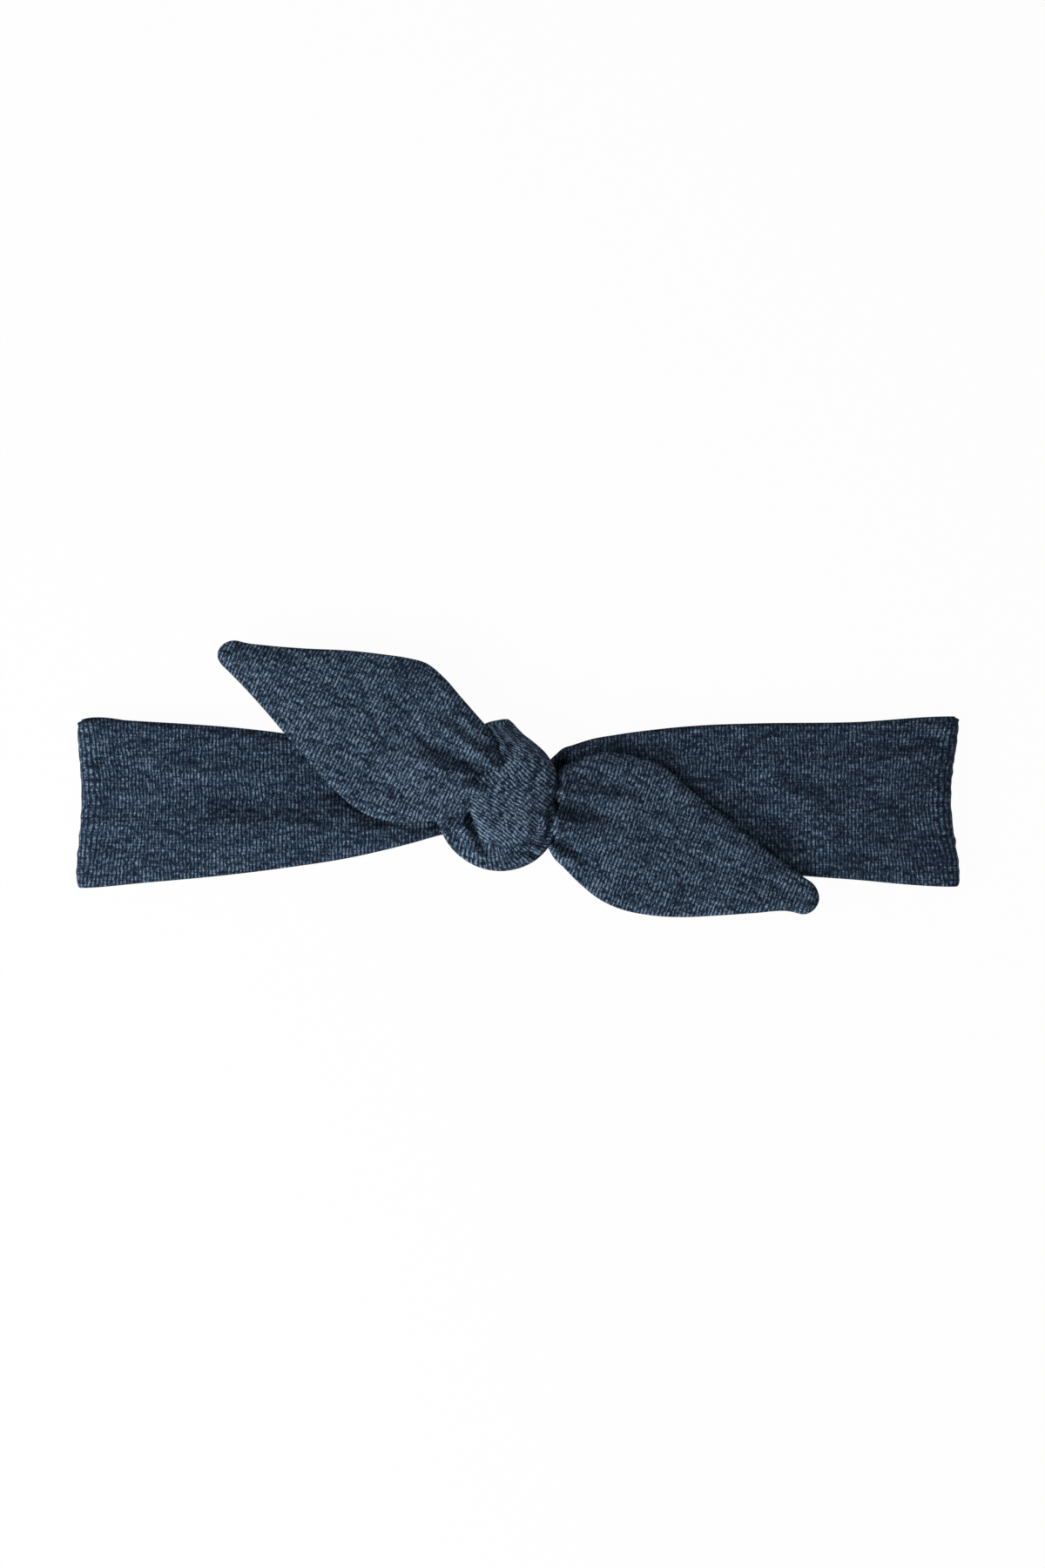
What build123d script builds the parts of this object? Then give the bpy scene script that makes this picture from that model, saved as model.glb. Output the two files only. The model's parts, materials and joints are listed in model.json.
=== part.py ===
from build123d import *
import os
from math import cos, radians, sin

# Knotted headband: a doubled jersey strip, sewn into a loop with a gathered elastic casing at the
# back, and tied in front into a knot with two leaf-shaped tails. It lies flat on its back with the
# knot up. Millimetres. +X runs from fold to fold, +Y across the band, +Z up. The origin is on the
# underside of the back casing, in the middle of the band. Each layer of the strip is cut where the
# band bends, so that every stretch of it can turn about its bend.

# ------------------------------------------------------------------ the loop
flat_length = 190.0  # fold to fold
strip_width = 36.0  # of the doubled strip where it is spread out, at the folds
knit = 0.9  # one layer of jersey
layer_gap = 0.3  # air between two layers that lie on each other
bend_gap = 0.2  # between two stretches of the band at a bend
loop_gap = 0.4  # between the knot and the back casing under it
knot_length = 24.0  # the stiff stretch at the knot, mouth to mouth
stretches = 3  # of each quarter of the loop, between the knot's mouth and the fold

# ------------------------------------------------------------------ the elastic casing at the back
elastic_width = 12.0
elastic_thickness = 0.7
casing_hem = 1.0  # of casing beyond each edge of the elastic
ruffle_pitch = 4.5  # of the ruffles that the elastic draws the casing's edges into
ruffle_depth = 0.6
back_widths = (20.0, 31.0, strip_width)  # of the strip from the casing's seam to the fold
seam_lap = 2.5  # from the end of the strip to the stitches that hold its gathers
stitch_length = 2.2
stitch_width = 0.6
stitch_height = 0.35
stitch_pitch = 1.6
stitch_count = 9

# ------------------------------------------------------------------ the legs in front
mouth_height = 4.6  # of the gathered strip where it enters the knot
pleats = 5  # across a leg at the knot's mouth, and across the back at the casing's seam
pleat_run = 0.6  # of the stretch, from where the pleats are deepest to where they run out
mouth_pleat_depth = 0.9
seam_pleat_depth = 0.45
left_leg_widths = (14.0, 24.8, 33.0, strip_width)  # at each bend, from the knot to the fold
left_leg_middles = (-1.0, 0.0, 0.2, 0.0)  # of the leg's middle line, across the band
right_leg_widths = (16.0, 29.5, 33.4, strip_width)
right_leg_middles = (3.5, 1.7, 0.3, 0.0)

# ------------------------------------------------------------------ the knot
neck_height = 4.0  # of the gathered strip where it leaves the knot as a tail
neck_radius = 5.5  # of the tail's root, inside the knot
neck_chamfer = 1.4  # of the root's upper rim, and how much lower the neck leaves it
running_gap = 0.3  # between the knot's strands, and round the tails' roots
wrap_height = 4.0  # of the strand that crosses the knot's face
wrap_width = 18.5
wrap_end_width = 11.0
wrap_reach = 12.4  # from the knot's middle to the wrap's middle line, where it turns under
wrap_middle = (-1.1, 3.3)
wrap_angle = 72.0  # of the wrap, from +X
wrap_tuck = 25.0  # degrees that each end of the wrap turns in under the knot
wrap_narrowing = 1.5  # how fast the wrap narrows towards its ends: 1 is a sine's shape
strand_pleats = 7  # lengthwise folds round a gathered strand
strand_pleat_depth = 0.09  # as a share of the strand's width and height
sections_along = 9  # of a strand, end to end
left_strand_route = ((-7.0, -8.0), (-1.0, -10.9), (5.5, -8.2))  # round the bottom of the knot
left_strand_widths = (9.5, 8.0, 7.0)
right_strand_route = ((5.0, 7.2), (-1.0, 10.0), (-6.0, 12.5))  # round the top of the knot
right_strand_widths = (10.0, 8.5, 7.5)
core_route = ((-9.0, 5.5), (0.0, 0.6), (9.0, -3.6))  # the crossing inside the knot
core_widths = (6.0, 8.0, 6.0)

# ------------------------------------------------------------------ the tails
neck_length = 8.5  # from the root's middle to the bend where the tail lifts
neck_end_width = 25.0
curl_at = 33.0  # from the root's middle to the bend halfway along the leaf
tip_radius = 4.0
tip_taper = 18.0  # degrees between the leaf's edge and its middle line, at the tip
shoulder_turn = 12.0  # degrees that the leaf's edge leaves the neck wider than straight to its shoulder
near_pull = 4.5  # how far the edge's curve holds its direction, at the neck and before the shoulder
far_pull = 8.0  # the same after the shoulder
tip_pull = 16.0  # and before the tip

# Each tail's root and heading, its leaf, and the degrees that the leaf slopes down to the leg.
tails = {
    "left": {
        "root": (-6.9, 5.5),
        "heading": 154.3,
        "length": 61.2,
        "shoulder": 21.0,
        "width": 35.4,
        "tilt": 2.2,
    },
    "right": {
        "root": (5.9, -1.1),
        "heading": -19.3,
        "length": 60.5,
        "shoulder": 20.0,
        "width": 32.2,
        "tilt": 1.6,
    },
}

# ------------------------------------------------------------------ worked out from the sizes
casing_width = elastic_width + 2 * casing_hem
casing_thickness = 2 * knit + 2 * layer_gap + elastic_thickness
fold_radius = casing_thickness + loop_gap / 2  # of the outside of the fold, and the loop's mid height
front_bend_z = fold_radius + loop_gap / 2
fold_x = flat_length / 2
turn_x = fold_x - fold_radius  # where a layer starts to turn round the fold
mouth_x = knot_length / 2
stretch = (fold_x - mouth_x) / stretches
bends = [mouth_x + i * stretch for i in range(stretches + 1)]
inner_radius = {"face": fold_radius - knit, "lining": fold_radius - 2 * knit - layer_gap}
neck_z = front_bend_z + mouth_height + running_gap
leaf_thickness = 2 * knit + layer_gap
wrap_z = neck_z + neck_height + loop_gap
wrap_side_z = neck_z + running_gap  # height at which the wrap stands upright, at either end
sides = {"left": -1, "right": 1}
up = Vector(0, 0, 1)


# ------------------------------------------------------------------ the band
def cross_section(x, middle, width, levels):
    """A layer's cross-section at x, between two heights."""
    low, high = levels
    plane = Plane(origin=(x, middle, (low + high) / 2), x_dir=(0, 1, 0), z_dir=(1, 0, 0))
    return plane * Rectangle(width, high - low)


def layer(side, near, far):
    """A stretch of one layer between two cross-sections, each (x, middle, width, levels): its plan,
    cut to its side view."""
    (x0, middle0, width0, levels0), (x1, middle1, width1, levels1) = near, far
    x0, x1 = side * x0, side * x1
    upper = [(x0, middle0 + width0 / 2), (x1, middle1 + width1 / 2)]
    lower = [(x1, middle1 - width1 / 2), (x0, middle0 - width0 / 2)]
    plan = make_face(Polyline(*upper, *lower, close=True))
    if levels0 == levels1:
        low, high = levels0
        return extrude(plan.moved(Location((0, 0, low))), amount=high - low)
    bottom = [(x0, levels0[0]), (x1, levels1[0])]
    top = [(x1, levels1[1]), (x0, levels0[1])]
    side_view = Plane.XZ * make_face(Polyline(*bottom, *top, close=True))
    return extrude(plan, amount=flat_length, both=True) & extrude(side_view, amount=flat_length, both=True)


def pleat(start, end, depth, width, outwards):
    """What to cut for one pleat: a valley as deep as depth at its start, which runs out at its end.
    It opens outwards: 1 is up and -1 is down."""
    bottom = Vector(*start) - up * outwards * depth
    run = Vector(*end) - bottom
    opening = up * outwards * 2 * depth
    rims = [bottom + opening + Vector(0, width * way, 0) for way in (1, -1)]
    return extrude(make_face(Polyline(bottom, *rims, close=True)), amount=run.length, dir=run.normalized())


def gathered_layer(side, near, far, depth, outwards):
    """A stretch of one layer gathered into pleats at its near end, on the side that faces outwards."""
    gathered = layer(side, near, far)
    (x0, middle0, width0, levels0), (x1, middle1, width1, levels1) = near, far
    outer = [max(levels) if outwards > 0 else min(levels) for levels in (levels0, levels1)]
    for i in range(pleats):
        place = (i + 0.5) / pleats - 0.5
        start = (side * x0, middle0 + place * width0, outer[0])
        away = (side * x1, middle1 + place * width1, outer[1])
        end = Vector(*start) + (Vector(*away) - Vector(*start)) * pleat_run
        gathered -= pleat(start, end, depth, width0 / pleats, outwards)
    return gathered


def flat_levels(name, half):
    """Heights of a layer where the band lies flat: half is 1 for the front and -1 for the back."""
    inner = inner_radius[name]
    return sorted((fold_radius + half * inner, fold_radius + half * (inner + knit)))


def mouth_levels(name):
    """Heights of a leg's two layers where they are gathered at the knot's mouth."""
    middle = front_bend_z + mouth_height / 2
    if name == "face":
        return middle + layer_gap / 2, front_bend_z + mouth_height
    return front_bend_z, middle - layer_gap / 2


def folded_layer(side, name, half, near):
    """The last stretch of a layer, with its quarter of the turn round the fold."""
    levels = flat_levels(name, half)
    flat = layer(side, near, (turn_x, 0.0, strip_width, levels))
    end = cross_section(side * turn_x, 0.0, strip_width, levels)
    axis = Axis((side * turn_x, 0, fold_radius), (0, side * half, 0))
    turned = flat + revolve(end, axis=axis, revolution_arc=90)
    other_half = Box(2 * flat_length, 2 * strip_width, fold_radius)
    middle = fold_radius - half * (fold_radius - bend_gap) / 2
    return turned - other_half.moved(Location((0, 0, middle)))


def quarter(side, name, half, widths, middles, first):
    """One layer of a quarter of the loop, from the stretch numbered first to the fold."""
    made = []
    levels = flat_levels(name, half)
    for i in range(first, stretches):
        at_mouth = half == 1 and i == first
        near_levels = mouth_levels(name) if at_mouth else levels
        near = (bends[i] + bend_gap / 2, middles[i - first], widths[i - first], near_levels)
        if i == stretches - 1:
            made.append(folded_layer(side, name, half, near))
            continue
        far = (bends[i + 1] - bend_gap / 2, middles[i + 1 - first], widths[i + 1 - first], levels)
        if at_mouth:
            outwards = 1 if name == "face" else -1
            made.append(gathered_layer(side, near, far, mouth_pleat_depth, outwards))
        elif i == first and name == "face":
            made.append(gathered_layer(side, near, far, seam_pleat_depth, -1))
        else:
            made.append(layer(side, near, far))
    return made


def ruffled_layer(x0, x1, width, levels):
    """A stretch of a casing layer whose long edges the elastic has drawn into ruffles."""
    steps = 2 * round((x1 - x0) / ruffle_pitch)
    edge = []
    for i in range(steps + 1):
        drawn_in = ruffle_depth if i % 2 else 0.0
        edge.append((x0 + (x1 - x0) * i / steps, width / 2 - drawn_in))
    plan = make_face(Polyline(*edge, *((x, -y) for x, y in reversed(edge)), close=True))
    low, high = levels
    return extrude(plan.moved(Location((0, 0, low))), amount=high - low)


def casing(name, x0, x1):
    """A stretch of the back casing: its face, the elastic inside it, and its lining."""
    elastic_levels = (knit + layer_gap, knit + layer_gap + elastic_thickness)
    lining_levels = (elastic_levels[1] + layer_gap, casing_thickness)
    return {
        f"{name}_casing_face": ruffled_layer(x0, x1, casing_width, (0.0, knit)),
        f"{name}_elastic": layer(1, *((x, 0.0, elastic_width, elastic_levels) for x in (x0, x1))),
        f"{name}_casing_lining": ruffled_layer(x0, x1, casing_width, lining_levels),
    }


def gather_stitches(side):
    """The row of stitches that holds the strip's gathers, where it is sewn to the casing."""
    top = flat_levels("lining", -1)[1]
    x = side * (bends[1] + seam_lap)
    stitch = Box(stitch_length, stitch_width, stitch_height)
    rows = [(i - (stitch_count - 1) / 2) * stitch_pitch for i in range(stitch_count)]
    return [stitch.moved(Location((x, y, top + stitch_height / 2))) for y in rows]


# ------------------------------------------------------------------ the knot
def oval(plane, width, height, depth):
    """An oval section with lengthwise folds round it, each as deep as a share of its size."""
    points = []
    for i in range(2 * strand_pleats):
        angle = radians(180 * i / strand_pleats)
        reach = 1 - depth if i % 2 else 1.0
        place = (reach * width / 2 * cos(angle), reach * height / 2 * sin(angle))
        points.append(plane.from_local_coords(place))
    return make_face(Polyline(*points, close=True))


def strand(path, width_at, height, across=None, extra=0.0):
    """A gathered strand along a path. width_at gives its width at a share of the path. With extra,
    it is the space to keep clear for it, so much wider all round and without folds."""
    sections = []
    for share in (i / (sections_along - 1) for i in range(sections_along)):
        direction = path % share
        plane = Plane(origin=path @ share, x_dir=across or direction.cross(up), z_dir=direction)
        depth = 0.0 if extra else strand_pleat_depth
        sections.append(oval(plane, width_at(share) + 2 * extra, height + 2 * extra, depth))
    return loft(sections, ruled=True)


def between(shares, widths):
    """A function that gives the width at any share of a path, straight between those given."""

    def width_at(share):
        i = max(1, next((k for k, s in enumerate(shares) if s >= share), len(shares) - 1))
        part = (share - shares[i - 1]) / (shares[i] - shares[i - 1])
        return widths[i - 1] + part * (widths[i] - widths[i - 1])

    return width_at


def flat_strand(start, start_width, heading, route, widths, extra=0.0):
    """A strand that lies in the knot, under the tails' roots, from a mouth along a route."""
    z = front_bend_z + mouth_height / 2
    points = [Vector(*start, z)] + [Vector(x, y, z) for x, y in route]
    path = Spline(points, tangents=(heading, points[-1] - points[-2]))
    shares = [path.param_at_point(point) for point in points]
    return strand(path, between(shares, (start_width, *widths)), mouth_height, extra=extra)


def face_wrap(extra=0.0):
    """The strand that comes over the knot's top, crosses its face and turns in at the bottom."""
    lengthwise = Vector(cos(radians(wrap_angle)), sin(radians(wrap_angle)), 0)
    across = lengthwise.cross(up)
    rise = wrap_z + wrap_height / 2 - wrap_side_z
    plane = Plane(origin=(*wrap_middle, wrap_side_z), x_dir=lengthwise, z_dir=across)
    turn = 180 + 2 * wrap_tuck
    path = plane * EllipticalCenterArc((0, 0), wrap_reach, rise, -wrap_tuck, arc_size=turn)

    def width_at(share):
        swell = max(0.0, sin(radians(180 * share))) ** wrap_narrowing
        return wrap_end_width + (wrap_width - wrap_end_width) * swell

    return strand(path, width_at, wrap_height, across=across, extra=extra)


def knot():
    """The knot's strands. What lies under the face wrap is cut back to clear it."""
    left_start = (-mouth_x + bend_gap / 2, left_leg_middles[0])
    right_start = (mouth_x - bend_gap / 2, right_leg_middles[0])
    left = (left_start, left_leg_widths[0], Vector(1, 0, 0), left_strand_route, left_strand_widths)
    right = (right_start, right_leg_widths[0], Vector(-1, 0, 0), right_strand_route, right_strand_widths)
    middle_path = [Vector(x, y, front_bend_z + mouth_height / 2) for x, y in core_route]
    core = strand(Spline(middle_path), between((0, 0.5, 1), core_widths), mouth_height)
    clear_of_wrap = face_wrap(extra=running_gap)
    clear_of_left = flat_strand(*left, extra=running_gap)
    clear_of_right = flat_strand(*right, extra=running_gap)
    return {
        "knot_face_wrap": face_wrap(),
        "knot_left_strand": flat_strand(*left) - clear_of_wrap,
        "knot_right_strand": flat_strand(*right) - clear_of_wrap - clear_of_left,
        "knot_core": core - clear_of_left - clear_of_right - clear_of_wrap,
    }


# ------------------------------------------------------------------ the tails
def leaf_outline(tail):
    """A tail's outline in its own plane: the root's middle at the origin, the tip along +X."""
    shoulder = Vector(tail["shoulder"], tail["width"] / 2)
    start = Vector(neck_length, neck_end_width / 2)
    taper = radians(tip_taper)
    tip_middle = tail["length"] - tip_radius
    tip = Vector(tip_middle + tip_radius * sin(taper), tip_radius * cos(taper))
    along = Vector(1, 0)
    spread = (shoulder - start).normalized().rotate(Axis.Z, shoulder_turn)
    inwards = Vector(-cos(taper), sin(taper))
    edge = Bezier(start, start + spread * near_pull, shoulder - along * near_pull, shoulder)
    edge += Bezier(shoulder, shoulder + along * far_pull, tip + inwards * tip_pull, tip)
    end = ThreePointArc(tip, (tail["length"], 0), (tip.X, -tip.Y))
    close = Line(start, (start.X, -start.Y))
    return make_face(edge + end + mirror(edge, Plane.XZ) + close)


def leaf_place(tail):
    """Where a tail's own plane lies: it slopes down from the bend at the neck's end."""
    at_root = Location((*tail["root"], neck_z), (0, 0, tail["heading"]))
    return at_root * Location((neck_length, 0, 0), (0, tail["tilt"], 0)) * Location((-neck_length, 0, 0))


def neck(tail):
    """The tail's root: round inside the knot, spreading out to the leaf."""
    root = Cylinder(neck_radius, neck_height, align=(Align.CENTER, Align.CENTER, Align.MIN))
    root = chamfer(root.edges().group_by(Axis.Z)[-1], neck_chamfer)
    near = (0, 0, 2 * neck_radius, (0, neck_height - neck_chamfer))
    far = (neck_length - bend_gap / 2, 0, neck_end_width, (0, leaf_thickness))
    spread = layer(1, near, far)
    return (root + spread).moved(Location((*tail["root"], neck_z), (0, 0, tail["heading"])))


def leaf(name, tail):
    """The leaf's two layers, each cut at the bend halfway along it."""
    outline = leaf_outline(tail)
    place = leaf_place(tail)
    spans = {
        "tail": (neck_length + bend_gap / 2, curl_at - bend_gap / 2),
        "tip": (curl_at + bend_gap / 2, tail["length"]),
    }
    made = {}
    for layer_name, low in (("lining", 0.0), ("face", knit + layer_gap)):
        sheet = extrude(outline.moved(Location((0, 0, low))), amount=knit)
        for part, (near, far) in spans.items():
            window = Box(far - near, 2 * strip_width, 4 * leaf_thickness)
            piece = sheet & window.moved(Location(((near + far) / 2, 0, 0)))
            made[f"{name}_{part}_{layer_name}"] = piece.moved(place)
    return made


# ------------------------------------------------------------------ the whole headband
def headband():
    """Every piece of the headband, by its node's name."""
    made = casing("back", -mouth_x + bend_gap / 2, mouth_x - bend_gap / 2)
    legs = {"left": (left_leg_widths, left_leg_middles), "right": (right_leg_widths, right_leg_middles)}
    for name, side in sides.items():
        near, far = sorted((side * (bends[0] + bend_gap / 2), side * (bends[1] - bend_gap / 2)))
        made.update(casing(name, near, far))
        for layer_name in ("face", "lining"):
            back = quarter(side, layer_name, -1, back_widths, (0.0, 0.0, 0.0), 1)
            for i, solid in enumerate(back, start=2):
                made[f"{name}_back_{layer_name}_{i}"] = solid
            for i, solid in enumerate(quarter(side, layer_name, 1, *legs[name], 0), start=1):
                made[f"{name}_leg_{layer_name}_{i}"] = solid
        made[f"{name}_gather_stitches"] = Compound(gather_stitches(side))
        made[f"{name}_tail_neck"] = neck(tails[name])
        made.update(leaf(name, tails[name]))
    made.update(knot())
    return made


if __name__ == "__main__":
    os.makedirs("parts", exist_ok=True)
    for node, shape in headband().items():
        export_step(shape, f"parts/{node}.step")
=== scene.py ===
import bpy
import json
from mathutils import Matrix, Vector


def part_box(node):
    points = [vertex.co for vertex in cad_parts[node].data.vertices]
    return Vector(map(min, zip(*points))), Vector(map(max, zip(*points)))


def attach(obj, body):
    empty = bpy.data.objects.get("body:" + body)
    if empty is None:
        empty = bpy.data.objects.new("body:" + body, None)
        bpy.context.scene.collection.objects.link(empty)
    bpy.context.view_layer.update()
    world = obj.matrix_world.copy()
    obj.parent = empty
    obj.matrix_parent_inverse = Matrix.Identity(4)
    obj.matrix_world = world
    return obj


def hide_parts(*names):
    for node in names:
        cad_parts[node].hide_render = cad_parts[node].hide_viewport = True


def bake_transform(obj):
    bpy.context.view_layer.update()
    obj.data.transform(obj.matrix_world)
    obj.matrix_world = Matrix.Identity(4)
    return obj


bl_info = {
    "name": "Knotted headband",
    "version": (1, 0, 0),
    "blender": (4, 5, 0),
    "location": "3D View > Sidebar > Headband",
    "description": "Dresses a knotted jersey headband, lying flat, around its fixed frame",
    "category": "Object",
}

import json
import math

import bpy
import numpy as np
from mathutils import Vector

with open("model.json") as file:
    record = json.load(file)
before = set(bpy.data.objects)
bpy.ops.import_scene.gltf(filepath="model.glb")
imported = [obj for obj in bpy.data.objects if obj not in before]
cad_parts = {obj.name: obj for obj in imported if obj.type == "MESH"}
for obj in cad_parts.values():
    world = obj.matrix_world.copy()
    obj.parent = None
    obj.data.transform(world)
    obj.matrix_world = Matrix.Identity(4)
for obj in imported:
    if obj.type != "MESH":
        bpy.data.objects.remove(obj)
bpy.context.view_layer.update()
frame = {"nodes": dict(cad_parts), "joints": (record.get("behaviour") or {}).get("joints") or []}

MM = 0.001
joints = {joint["name"]: joint for joint in frame["joints"]}


def corner_mm(node, corner, axis):
    """A coordinate of a node's box in millimetres: corner 0 is the lowest and 1 the highest."""
    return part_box(node)[corner][axis] / MM


# Heights and lengths of the loop, in millimetres, as the frame has them.
FOLD_X = corner_mm("right_leg_face_3", 1, 0)
MOUTH_X = corner_mm("right_leg_face_1", 0, 0)
TOP_OF_LEG = corner_mm("right_leg_face_2", 1, 2)
LINING_TOP = corner_mm("right_back_lining_2", 1, 2)
CASING_TOP = corner_mm("back_casing_lining", 1, 2)
FACE_TOP = corner_mm("knot_face_wrap", 1, 2)
FOLD_MIDDLE_Z = TOP_OF_LEG / 2
STRIP_HALF = LINING_TOP / 2  # half the strip's thickness
FOLD_LINE_RADIUS = FOLD_MIDDLE_Z - STRIP_HALF
CASING_EXTRA = (CASING_TOP - LINING_TOP) / 2  # what the elastic adds above and below its middle
TURN_X = FOLD_X - FOLD_MIDDLE_Z
BENDS = [joints[f"right_back_bend_{i}"]["pos_m"][0] / MM for i in (1, 2, 3)]
INSIDE_KNOT_X = MOUTH_X - 5.5  # the legs are made from here, in under the knot
SIDES = {"left": -1, "right": 1}

# How the pieces are divided, and where they begin and end to bend, in millimetres.
ROW_LENGTH = 0.6  # of the band
POINTS_ROUND_BAND = 190
POINTS_ROUND_STRAND = 140
TAIL_GRIDS = {"root": (80, 260), "leaf": (90, 200)}  # points along it and round it
WRAP_GRID = (160, 260)
BEND_REACH = 8.0  # a bend's curve, each way from its joint
MOUTH_BEND = (-3, 5)  # from the knot's mouth to the start and the end of the bend there
FOLD_PLANE_TILT = 0.032  # run for each millimetre of height
FOLD_PLANE_REACH = 0.3  # to the start and the end of the fold's bend
TAIL_START = -4.0  # along a tail, inside the knot
TAIL_SEAM_DEPTH = 0.14
UV_APART = {"loop": 300, "tails": 90, "strands": 40}  # so that no two pieces show the same cloth
UV_ASIDE = {"tails": 200, "wrap": 120, "strands": 90}
JOINED_WITHIN = 0.002  # points nearer than this become one


def curve(points, at):
    """A smooth line through a few (place, value) points, level with its neighbours' slope at each."""
    places = np.array([p[0] for p in points], float)
    values = np.array([p[1] for p in points], float)
    slopes = np.gradient(values, places)
    at = np.clip(at, places[0], places[-1])
    i = np.clip(np.searchsorted(places, at, side="right") - 1, 0, len(places) - 2)
    step = places[i + 1] - places[i]
    t = (at - places[i]) / step
    start, end = values[i], values[i + 1]
    return (
        start * (1 + 2 * t) * (1 - t) ** 2
        + end * t * t * (3 - 2 * t)
        + step * t * (1 - t) * (slopes[i] * (1 - t) - slopes[i + 1] * t)
    )


def ease(low, high, at):
    """0 below low, 1 above high, and smooth between."""
    t = np.clip((at - low) / (high - low), 0, 1)
    return t * t * (3 - 2 * t)


def hump(at, middle, width):
    """A smooth rounded hump: 1 at its middle, and near 0 two widths from it."""
    return np.exp(-(((at - middle) / width) ** 2))


def fading(at, start, length):
    """1 up to a start, and less and less past it."""
    return np.exp(-np.clip(at - start, 0, None) / length)


def crease(x, y, points, depth, width, lean=0.0, hold=0.25):
    """How much a crease along a line of points lowers a place: most at its start, as deep for a share
    hold of its length, and none past its end. The cloth it takes stands up in a ridge on either side.
    A depth below 0 makes a ridge instead. With lean above 0 it is wider on the left of its line, seen
    from its start, and steeper on the right."""
    points = np.array(points, float)
    steps = np.diff(points, axis=0)
    lengths = np.hypot(steps[:, 0], steps[:, 1])
    whole = lengths.sum()
    nearest = np.full_like(x, np.inf)
    along = np.zeros_like(x)
    left = np.zeros_like(x)
    for (x0, y0), (dx, dy), length, before in zip(points, steps, lengths, np.cumsum(lengths) - lengths):
        share = np.clip(((x - x0) * dx + (y - y0) * dy) / length**2, 0, 1)
        away = np.hypot(x - x0 - share * dx, y - y0 - share * dy)
        closer = away < nearest
        nearest = np.where(closer, away, nearest)
        along = np.where(closer, (before + share * length) / whole, along)
        left = np.where(closer, np.sign((y - y0) * dx - (x - x0) * dy), left)
    aside = nearest / (width * (1 + lean * left) * (1 + 0.5 * along))
    return depth * (1 - ease(hold, 1.0, along)) * (hump(aside, 0, 1) - 0.35 * hump(aside, 2.1, 0.9))


def ripples(phase, seed, counts):
    """Waves of several counts over a turn of phase, unevenly strong, between about -1 and 1."""
    total = np.zeros_like(phase)
    for k in counts:
        strength = 0.7 + 0.3 * math.sin(seed * 12.9 + k * 78.2)
        total += strength * np.cos(k * phase + seed * k * 1.7)
    return total / (0.75 * len(counts))


def wrinkles(along, aside, seed):
    """Faint uneven creases that run along a piece of cloth, between about -1 and 1."""
    total = np.zeros_like(along)
    for k in range(7):
        turn = 0.9 * math.sin(seed * 3.1 + k * 2.3)  # how far this one slants, in turns for its length
        length = 28 + 17 * math.sin(seed + k * 1.9)
        width = 3.4 + 1.5 * math.sin(seed * 1.7 + k * 4.1)
        bend = 1.6 * np.sin(along * 2 * math.pi / length + k)
        total += np.sin(2 * math.pi * ((aside + bend) / width + turn * along / 60) + k * seed)
    return total / 4


# ------------------------------------------------------------------ sizes and colours
class HeadbandJersey(bpy.types.PropertyGroup):
    """The cloth: heathered navy jersey."""

    shade: bpy.props.FloatVectorProperty(
        name="Shade", description="Colour of most of the yarn", subtype="COLOR",
        size=3, min=0, max=1, default=(0.026, 0.046, 0.079))
    deep: bpy.props.FloatVectorProperty(
        name="Deep shade", description="Colour between the ribs", subtype="COLOR",
        size=3, min=0, max=1, default=(0.006, 0.011, 0.024))
    light: bpy.props.FloatVectorProperty(
        name="Light shade", description="Colour of the lighter yarn", subtype="COLOR",
        size=3, min=0, max=1, default=(0.092, 0.146, 0.225))
    fleck: bpy.props.FloatVectorProperty(
        name="Fleck", description="Colour of the pale fibres", subtype="COLOR",
        size=3, min=0, max=1, default=(0.28, 0.385, 0.50))
    rib: bpy.props.FloatProperty(
        name="Rib", description="Distance between two ribs", default=0.8 * MM, unit="LENGTH")
    stitch: bpy.props.FloatProperty(
        name="Stitch", description="Length of one stitch along a rib", default=0.62 * MM, unit="LENGTH")
    relief: bpy.props.FloatProperty(
        name="Relief", description="Height of the knit's bumps", default=0.22 * MM, unit="LENGTH")
    creasing: bpy.props.FloatProperty(
        name="Creasing", description="Height of the faint creases all over", default=0.13 * MM, unit="LENGTH")


class HeadbandLoop(bpy.types.PropertyGroup):
    """The legs and the back."""

    puff: bpy.props.FloatProperty(
        name="Puff", description="How far the tube swells in its middle", default=0.7 * MM, unit="LENGTH")
    gathers: bpy.props.FloatProperty(
        name="Gathers", description="Height of the folds at the knot", default=0.9 * MM, unit="LENGTH")
    ruching: bpy.props.FloatProperty(
        name="Ruching", description="Height of the casing's ruffles", default=0.45 * MM, unit="LENGTH")
    seam_depth: bpy.props.FloatProperty(
        name="Seam depth", description="How much lower the cloth lies beyond the seam",
        default=0.55 * MM, unit="LENGTH")
    fold_hollow: bpy.props.FloatProperty(
        name="Fold hollow", description="How far each fold's edge pulls in", default=2.0 * MM, unit="LENGTH")
    slump: bpy.props.FloatProperty(
        name="Slump", description="Share of its height that each end loses", default=0.2)


class HeadbandTails(bpy.types.PropertyGroup):
    """The leaf-shaped tails."""

    puff: bpy.props.FloatProperty(
        name="Puff", description="How far a tail swells in its middle", default=0.8 * MM, unit="LENGTH")
    edge: bpy.props.FloatProperty(
        name="Edge", description="Half of the turned edge's thickness", default=0.95 * MM, unit="LENGTH")
    seam_inset: bpy.props.FloatProperty(
        name="Seam inset", description="From the edge to the seam's line", default=1.3 * MM, unit="LENGTH")
    tip_radius: bpy.props.FloatProperty(
        name="Tip radius", description="Rounding of the tip", default=3.2 * MM, unit="LENGTH")


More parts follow.
